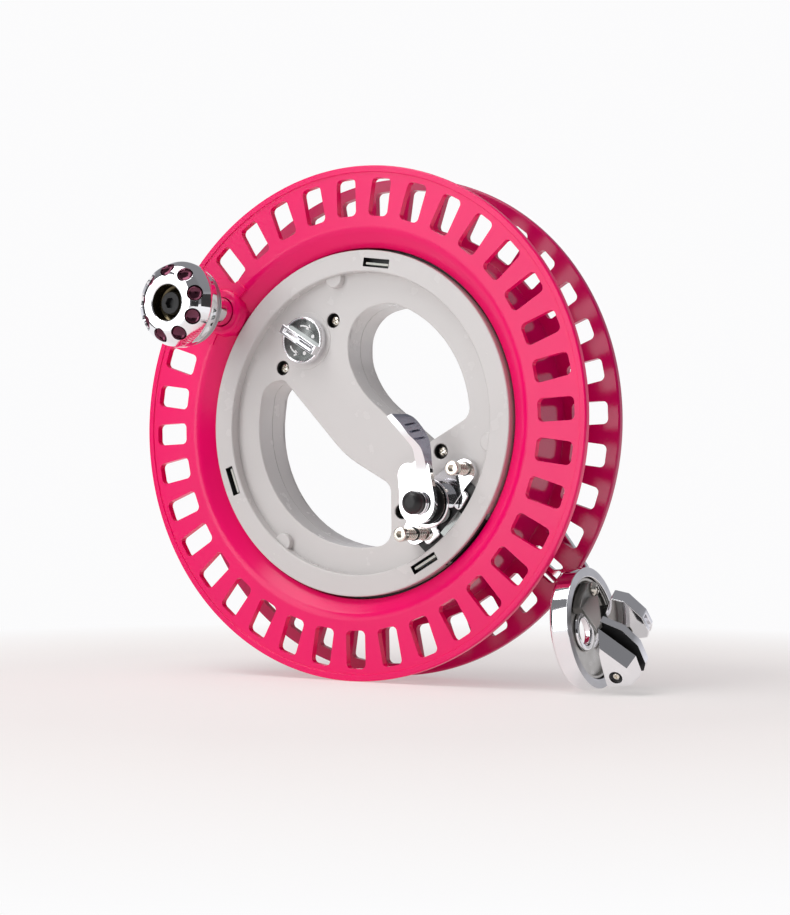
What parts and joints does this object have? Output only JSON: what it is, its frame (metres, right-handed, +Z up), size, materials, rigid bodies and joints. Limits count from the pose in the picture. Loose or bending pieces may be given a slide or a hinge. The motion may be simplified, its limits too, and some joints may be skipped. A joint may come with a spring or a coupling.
{
  "type": "kite line reel",
  "caption": "Hand-held line reel: a flanged wheel on a ball bearing turns around a two-opening grip, with a crank knob, a thumb brake and a swivelling line guide.",
  "frame": {"origin": "centre of the bounding box on the surface the reel stands on", "axes": "+X across the wheel towards the line guide, +Y along the wheel's axle away from the user, +Z up"},
  "size_m": [0.2396, 0.0842, 0.22],
  "materials": {
    "gloss": "glossy moulded plastic",
    "grey": "fine satin moulded plastic",
    "chrome": "polished plating",
    "knob": "polished and plated",
    "steel": "machined",
    "rubber": "matte",
    "nylon": "moulded"
  },
  "bodies": {
    "handle": {"arm_screw_1": "steel", "arm_screw_2": "steel", "arm_spacer_1": "chrome", "arm_spacer_2": "chrome", "bearing_inner_race": "steel", "brake_bracket": "chrome", "brake_bush": "rubber", "dust_seal": "rubber", "ear_screw_1": "steel", "ear_screw_2": "steel", "ear_spring_1": "steel", "ear_spring_2": "steel", "grip_screw_1": "steel", "grip_screw_2": "steel", "grip_screw_3": "steel", "grip_screw_4": "steel", "guide_arm": "chrome", "guide_ring": "chrome", "hub_front_shell": "grey", "hub_rear_shell": "grey", "lug_screw_1": "steel", "lug_screw_2": "steel", "pawl_pin": "steel"},
    "wheel": {"front_flange": "gloss", "rear_flange": "gloss", "line_drum": "gloss", "bearing_outer_race": "steel", "ratchet_ring": "steel", "knob_post": "chrome", "knob_bolt": "steel", "wheel_screw_1": "steel", "wheel_screw_2": "steel", "wheel_screw_3": "steel", "wheel_screw_4": "steel", "wheel_screw_5": "steel", "wheel_screw_6": "steel"},
    "cage": {"ball_cage": "nylon"},
    "knob": {"knob_shell": "knob", "knob_collar": "knob"},
    "selector": {"selector_knob": "chrome", "selector_cam": "steel"},
    "pawl": {"pawl": "steel"},
    "brake_lever": {"brake_lever": "chrome", "brake_spindle": "steel", "spindle_ring": "chrome", "spindle_cap": "rubber"},
    "brake_shoe": {"brake_shoe": "chrome", "brake_lining": "rubber"},
    "guide": {"guide_carrier": "steel", "guide_eyelet": "chrome", "near_fork": "chrome", "far_fork": "chrome", "near_pin": "steel", "far_pin": "steel", "fork_screw": "steel"},
    "near_roller": {"near_roller": "steel"},
    "far_roller": {"far_roller": "steel"}
  },
  "joints": [
    {"name": "wheel_spin", "type": "hinge", "parent": "handle", "child": "wheel", "pos_m": [-0.00978, 0.0166, 0.11], "axis": [0, 1, 0], "continuous": true},
    {"name": "cage_spin", "type": "hinge", "parent": "handle", "child": "cage", "pos_m": [-0.00978, 0.0166, 0.11], "axis": [0, 1, 0], "continuous": true},
    {"name": "knob_spin", "type": "hinge", "parent": "wheel", "child": "knob", "pos_m": [-0.07748, -0.04215, 0.1615], "axis": [0, 1, 0], "continuous": true},
    {"name": "selector_turn", "type": "hinge", "parent": "handle", "child": "selector", "pos_m": [-0.03776, 0.00635, 0.14714], "axis": [0, 1, 0], "range_deg": [-40, 40]},
    {"name": "pawl_turn", "type": "hinge", "parent": "handle", "child": "pawl", "pos_m": [-0.04468, 0.02225, 0.15632], "axis": [0, 1, 0], "range_deg": [-8, 8]},
    {"name": "brake_lever_swing", "type": "hinge", "parent": "handle", "child": "brake_lever", "pos_m": [0.02722, 0.00635, 0.0755], "axis": [0, -1, 0], "range_deg": [0, 22], "stiffness_Nm_per_rad": 0.3, "springref_deg": -11.46},
    {"name": "brake_shoe_slide", "type": "slide", "parent": "handle", "child": "brake_shoe", "axis": [0.7314, 0, -0.682], "range_m": [0, 0.0003]},
    {"name": "guide_swivel", "type": "hinge", "parent": "handle", "child": "guide", "pos_m": [0.09512, 0.01635, 0.02515], "axis": [0.9907, 0, 0.1357], "continuous": true},
    {"name": "near_roller_spin", "type": "hinge", "parent": "guide", "child": "near_roller", "pos_m": [0.11001, 0.00899, 0.01078], "axis": [-0.0679, 0.866, 0.4954], "continuous": true},
    {"name": "far_roller_spin", "type": "hinge", "parent": "guide", "child": "far_roller", "pos_m": [0.10499, 0.02986, 0.02529], "axis": [-0.0679, 0.866, 0.4954], "continuous": true}
  ],
  "couplings": [
    {"joint": "cage_spin", "follows": "wheel_spin", "ratio": 0.516},
    {"joint": "pawl_turn", "follows": "selector_turn", "ratio": -0.2},
    {"joint": "brake_shoe_slide", "follows": "brake_lever_swing", "m_per_rad": 0.00078}
  ]
}
